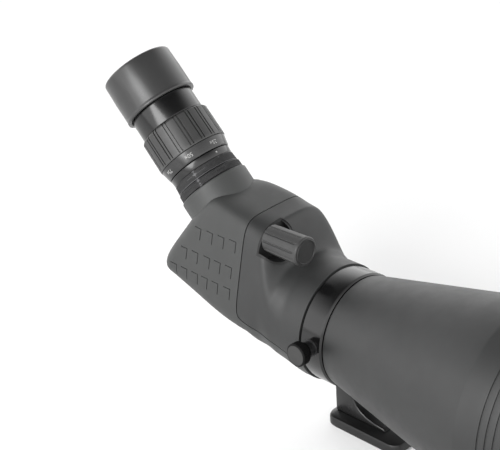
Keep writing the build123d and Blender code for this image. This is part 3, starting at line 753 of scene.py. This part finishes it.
def make_collar():
    band = [(0.2, 34.85), (0.2, 36.7, 0.2), (0.6, 37.05, 0.2), (15.3, 37.0, 0.15),
            (16.4, 35.95, 0.15), (16.4, 34.85)]
    ring_obj = lathe("collar_band", BARREL, band, 240)
    boolean(ring_obj, bar("lock_cut", LOCK, 30, 36.65, 3.55, 48), "DIFFERENCE")
    boolean(ring_obj, bar("lock_face_cut", LOCK, 36.6, 42, 5.55, 48), "DIFFERENCE")
    outline = [(1.2, -35.0), (15.2, -35.0), (15.2, -43), (16.2, -46.8), (18.5, -50.5),
               (21.8, -53.4), (26, -55.5), (33, -57.2), (40, -58), (42, -60), (1.2, -60)]
    pillar = prism_mesh("pillar", outline, -9, 9)
    mod = pillar.modifiers.new("edge", "BEVEL")
    mod.width = 1.6 * MM
    mod.segments = 4
    mod.limit_method = "ANGLE"
    mod.angle_limit = math.radians(50)
    graph = bpy.context.evaluated_depsgraph_get()
    pillar.data = bpy.data.meshes.new_from_object(pillar.evaluated_get(graph))
    pillar.modifiers.clear()
    boolean(pillar, bar("bore_cut", BARREL, -5, 20, 36.6, 240), "DIFFERENCE")
    reshade(pillar, 32.0)
    reshade(ring_obj, 32.0)
    dress(ring_obj, GLOSS, "tripod_collar", ("collar_ring",))
    dress(pillar, SATIN, "tripod_collar")


def make_foot():
    lo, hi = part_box("collar_foot")
    bm = bmesh.new()
    cx, cy = (lo.x + hi.x) / 2, (lo.y + hi.y) / 2
    hx, hy = (hi.x - lo.x) / 2, (hi.y - lo.y) / 2
    corner = 7 * MM
    loop = []
    for sx, sy, start in ((1, 1, 0), (-1, 1, 90), (-1, -1, 180), (1, -1, 270)):
        for k in range(9):
            a = math.radians(start + 90 * k / 8)
            loop.append((cx + sx * (hx - corner) + corner * math.cos(a),
                         cy + sy * (hy - corner) + corner * math.sin(a)))
    levels = [(lo.z, 0.6), (lo.z + 0.6 * MM, 0.0), (hi.z - 1.6 * MM, 0.0), (hi.z - 0.5 * MM, 0.45),
              (hi.z, 1.5)]
    made = []
    for z, inset in levels:
        k = inset * MM
        made.append([bm.verts.new((cx + (x - cx) * (1 - k / hx), cy + (y - cy) * (1 - k / hy), z))
                     for x, y in loop])
    n = len(loop)
    for a, b in zip(made, made[1:]):
        for i in range(n):
            j = (i + 1) % n
            bm.faces.new((a[i], a[j], b[j], b[i]))
    bm.faces.new(made[0])
    bm.faces.new(made[-1])
    obj = finish_mesh(bm, "collar_foot_plate", 40.0)
    upright = Axis((28.0, 0, -68.0), (0, 0, 1), (1, 0, 0), (0, 1, 0))
    boolean(obj, bar("thread_cut", upright, -1, 12, 4.55, 48), "DIFFERENCE")
    reshade(obj, 40.0)
    dress(obj, SATIN, "tripod_collar", ("collar_foot",))


def make_lock():
    def scallop(t, r, a):
        if r < 6.4 or t < 44.6 or t > 49.2:
            return r
        return r - 0.28 * max(0.0, math.cos(a * 24)) ** 2
    outline = [(41.8, 2.52), (41.8, 5.0, 0.2), (44.2, 5.0, 0.2), (44.2, 6.9, 0.3), (44.8, 7.4, 0.2)]
    outline += rows(45.2, 49.0, 7.4, 7.4, 6)
    outline += [(49.7, 7.4, 0.3), (50.3, 6.7, 0.3), (50.3, 0), (48, 0), (48, 2.52)]
    obj = lathe("lock_knob_head", LOCK, outline, 288, scallop, 40.0)
    dress(obj, LOCK_BLACK, "lock_handle", ("lock_knob",))
    face = [(50.28, 0), (50.28, 6.35), (50.42, 6.2, 0.05), (50.42, 0)]
    obj = lathe("lock_knob_face", LOCK, face, 96)
    dress(obj, LOCK_FACE, "lock_handle")
    washer = [(41.05, 2.55), (41.05, 5.4, 0.1), (41.75, 5.4, 0.1), (41.75, 2.55)]
    obj = lathe("lock_washer_ring", LOCK, washer, 96)
    dress(obj, DULL, "lock_handle", ("lock_washer",))
    seat = [(36.15, 2.55), (36.15, 3.5), (36.62, 3.5), (36.62, 5.5, 0.1), (37.6, 5.5, 0.25),
            (37.6, 4.6), (41.0, 4.6), (41.0, 2.55)]
    obj = lathe("lock_bushing_seat", LOCK, seat, 96)
    dress(obj, DULL, "tripod_collar", ("lock_bushing",))


# -------------------------------------------------------------------- knob

FLUTES = 10
FLUTE_START = math.radians(4.8)
FLUTE_HALF = 0.13                       # of the space between two flutes


def make_focus_knob():
    def flute(t, r, a):
        if r < 8.7:
            return r
        local = ((a - FLUTE_START) * FLUTES / (2 * math.pi) + 0.5) % 1.0
        off = abs(local - 0.5)
        depth = 0.75 * max(0.0, 1 - (off / FLUTE_HALF) ** 2)
        end = min(1.0, max(0.0, (-11.2 - t) / 1.0))
        return r - depth * math.sqrt(end)
    outline = [(-37.9, 7.63), (-37.9, 8.4, 0.3), (-37.2, 8.85, 0.2)]
    outline += rows(-36.5, -12.6, 8.9, 9.4, 8)
    outline += [(-12.2, 9.42), (-11.9, 9.43), (-11.6, 9.44), (-11.2, 9.45), (-10.9, 9.45)]
    outline += [(-9.9, 9.5, 0.4), (-8.9, 8.95, 0.5), (-8.9, 8.03), (-12.05, 8.03), (-12.05, 7.63)]
    obj = lathe("focus_knob_fluted", KNOB, outline, FLUTES * 32, flute, 36.0)
    dress(obj, KNOB_RUBBER, "focus_wheel", ("focus_knob_grip",))
    cap = [(-9.85, 0), (-9.85, 8.0), (-8.5, 8.0, 0.2), (-8.3, 7.8, 0.1), (-8.3, 7.5, 0.1),
           (-8.8, 7.2, 0.2), (-8.8, 0)]
    obj = lathe("focus_knob_disc", KNOB, cap, 128)
    dress(obj, KNOB_FACE, "focus_wheel", ("focus_knob_cap",))


# ------------------------------------------------------------------- barrel

CONE_X0 = 17.2
CONE_X1 = 127.0
CONE_SLOPE = 0.2
CONE_R0 = 34.1
FRONT_R = CONE_R0 + CONE_SLOPE * (CONE_X1 - CONE_X0)
GUM = 1.9
SHADE_IN = FRONT_R + 1.2
SHADE_OUT = SHADE_IN + 2.8


def make_barrel():
    outline = [(17.1, CONE_R0 + 0.08), (17.1, CONE_R0 + GUM - 0.1, 0.6)]
    outline += rows(18.4, CONE_X1 - 12, CONE_R0 + GUM + 0.25, FRONT_R + GUM - 2.1, 10)
    outline += [(CONE_X1 + 4, FRONT_R + GUM + 0.3, 14.0), (145.5, FRONT_R + GUM + 0.3)]
    for x in (146.0, 151.0, 156.0, 161.0, 166.0):
        outline += [(x, FRONT_R + GUM + 0.3, 0.15), (x + 0.2, FRONT_R + GUM - 0.4, 0.1),
                    (x + 1.2, FRONT_R + GUM - 0.4, 0.1), (x + 1.4, FRONT_R + GUM + 0.3, 0.15)]
    outline += [(171.6, FRONT_R + GUM + 0.3, 0.5), (173.0, FRONT_R + GUM - 0.6, 0.5),
                (173.0, FRONT_R + 0.08), (CONE_X1, FRONT_R + 0.08)]
    obj = lathe("barrel_armour_skin", BARREL, outline, 256)
    dress(obj, ARMOUR, "scope", ("barrel_armour",))


def make_hood():
    x0, x1 = 174.5, 268.0
    outline = [(x0, FRONT_R + 0.35), (x0, SHADE_OUT - 0.2, 0.6), (x0 + 1.2, SHADE_OUT, 0.6)]
    for x in (190.0, 194.0, 198.0, 202.0, 206.0):
        outline += [(x, SHADE_OUT, 0.15), (x + 0.25, SHADE_OUT - 0.6, 0.15),
                    (x + 1.6, SHADE_OUT - 0.6, 0.15), (x + 1.85, SHADE_OUT, 0.15)]
    outline += [(x1 - 7.2, SHADE_OUT, 0.4), (x1 - 6, SHADE_OUT + 0.7, 0.5),
                (x1 - 0.6, SHADE_OUT + 0.7, 0.8), (x1, SHADE_OUT - 0.6, 0.6),
                (x1, SHADE_IN + 0.3, 0.4), (x1 - 1.2, SHADE_IN, 0.3),
                (x0 + 2.6, SHADE_IN), (x0 + 2.6, FRONT_R + 0.35)]
    obj = lathe("hood_shell", BARREL, outline, 256)
    dress(obj, SATIN, "lens_hood", ("sunshade",))


# ---------------------------------------------------------- floor and light

def make_floor():
    bm = bmesh.new()
    bmesh.ops.create_grid(bm, x_segments=2, y_segments=2, size=6.0)
    floor = finish_mesh(bm, "floor")
    mat, tree, shader = base_material("pale_floor", 0.9, 0.1)
    tree.links.new(ramp(tree, noise(tree, 3.0), (0.93, 0.93, 0.93), (0.95, 0.95, 0.95)),
                   shader.inputs["Base Color"])
    floor.data.materials.append(mat)


def softbox(name, place, target, size, power):
    light = bpy.data.lights.new(name, "AREA")
    light.shape = "RECTANGLE"
    light.size, light.size_y = size
    light.energy = power
    obj = bpy.data.objects.new(name, light)
    bpy.context.scene.collection.objects.link(obj)
    obj.location = place
    obj.rotation_mode = "QUATERNION"
    obj.rotation_quaternion = (Vector(target) - Vector(place)).to_track_quat("-Z", "Y")
    return obj


# the camera, from where it stands to how it is turned
EYE_POINT = Vector((478.638, -547.599, 523.899)) * MM
CAMERA_AZIMUTH = math.radians(-43.223)
CAMERA_RISE = math.radians(27.274)
CAMERA_ROLL = math.radians(-4.12)
LENS_MM = 100.8
SENSOR_MM = 36.0


def sky_direction(azimuth, rise):
    """Unit vector toward a place in the sky; azimuth runs from +X toward +Y."""
    return Vector((math.cos(rise) * math.cos(azimuth), math.cos(rise) * math.sin(azimuth),
                   math.sin(rise)))


def make_camera():
    data = bpy.data.cameras.new("camera")
    data.sensor_width = SENSOR_MM
    data.lens = LENS_MM
    data.clip_start = 0.01
    data.clip_end = 50.0
    cam = bpy.data.objects.new("camera", data)
    flat = Vector((-math.sin(CAMERA_AZIMUTH), math.cos(CAMERA_AZIMUTH), 0.0))
    back = sky_direction(CAMERA_AZIMUTH, CAMERA_RISE)
    upright = back.cross(flat)
    right = flat * math.cos(CAMERA_ROLL) + upright * math.sin(CAMERA_ROLL)
    turn = Matrix((right, back.cross(right), back)).transposed()
    cam.matrix_world = Matrix.Translation(EYE_POINT) @ turn.to_4x4()
    bpy.context.scene.collection.objects.link(cam)
    bpy.context.scene.camera = cam


# the studio: brightness of the horizon band, and its fade against the sine of the height
HORIZON_LEVEL = 2.3
SKY_FADE = [(0.0, 1.0), (0.45, 1.0), (0.60, 0.65), (0.75, 0.22), (0.82, 0.05)]
KEY_AZIMUTH = math.radians(-83)
KEY_RISE = math.radians(26)
KEY_DISTANCE = 1.2
KEY_SIDE = 0.65
KEY_WATTS = 10.6
KEY_TARGET = Vector((-0.05, 0.0, 0.1))


def make_light():
    """A bright band round the horizon under a dark ceiling, and one large softbox."""
    world = bpy.data.worlds.new("studio")
    bpy.context.scene.world = world
    world.use_nodes = True
    tree = world.node_tree
    back = tree.nodes["Background"]
    back.inputs["Strength"].default_value = HORIZON_LEVEL
    place = tree.nodes.new("ShaderNodeTexCoord")
    split = tree.nodes.new("ShaderNodeSeparateXYZ")
    fade = tree.nodes.new("ShaderNodeValToRGB")
    while len(fade.color_ramp.elements) < len(SKY_FADE):
        fade.color_ramp.elements.new(0.5)
    for stop, (height, level) in zip(fade.color_ramp.elements, SKY_FADE):
        stop.position = height
        stop.color = (level, level, level, 1.0)
    tree.links.new(place.outputs["Generated"], split.inputs["Vector"])
    tree.links.new(split.outputs["Z"], fade.inputs["Fac"])
    tree.links.new(fade.outputs["Color"], back.inputs["Color"])
    toward = sky_direction(KEY_AZIMUTH, KEY_RISE)
    softbox("key", KEY_TARGET + toward * KEY_DISTANCE, KEY_TARGET, (KEY_SIDE, KEY_SIDE),
            KEY_WATTS)
    bpy.context.scene.view_settings.view_transform = "Standard"
    bpy.context.scene.view_settings.look = "None"


dress_cad_nodes()
make_camera()
make_covers()
make_knurled_rings()
make_zoom_ring()
make_figures()
make_index_ring()
make_neck()
make_eyepiece_barrel()
make_eyecup()
make_collar()
make_foot()
make_lock()
make_focus_knob()
make_barrel()
make_hood()
make_floor()
make_light()
